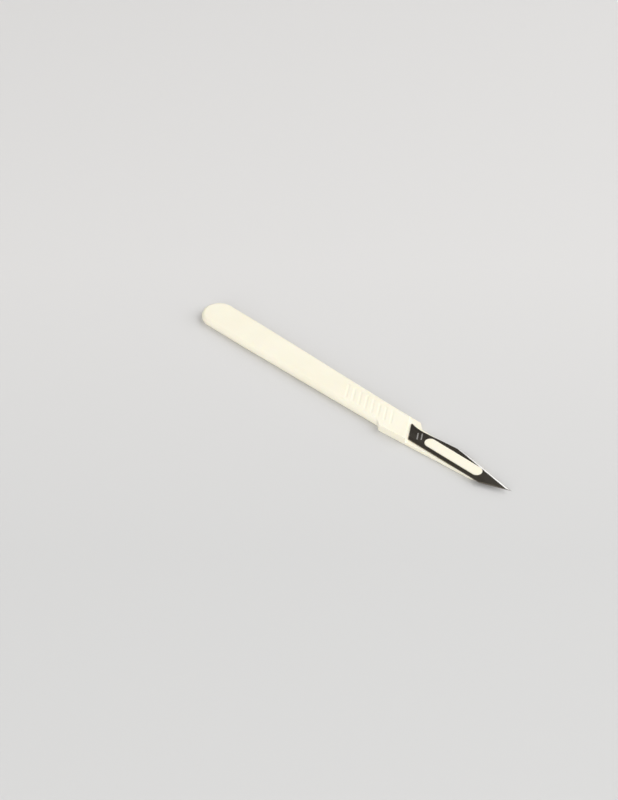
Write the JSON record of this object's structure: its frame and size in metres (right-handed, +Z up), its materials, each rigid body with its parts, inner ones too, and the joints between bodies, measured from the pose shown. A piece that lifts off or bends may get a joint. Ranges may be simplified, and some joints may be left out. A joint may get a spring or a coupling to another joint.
{
  "type": "disposable scalpel",
  "caption": "Slim one-piece plastic scalpel handle with slanted grip grooves and a slotted, straight-edged, pointed steel blade seated on its tongue.",
  "frame": {"origin": "middle of the footprint, on the surface that the scalpel lies on, at its back face", "axes": "+X from the butt to the blade's tip, +Y towards the cutting edge's side, +Z up, out of the face that carries the blade"},
  "size_m": [0.15, 0.0132, 0.0032],
  "materials": {
    "handle_plastic": "cream injection-moulded plastic, satin, slightly translucent",
    "blade_steel": "dark fine-ground faces with brighter ground bevels along the cutting edge"
  },
  "bodies": {
    "root": {"handle": "handle_plastic", "blade": "blade_steel"}
  },
  "joints": []
}
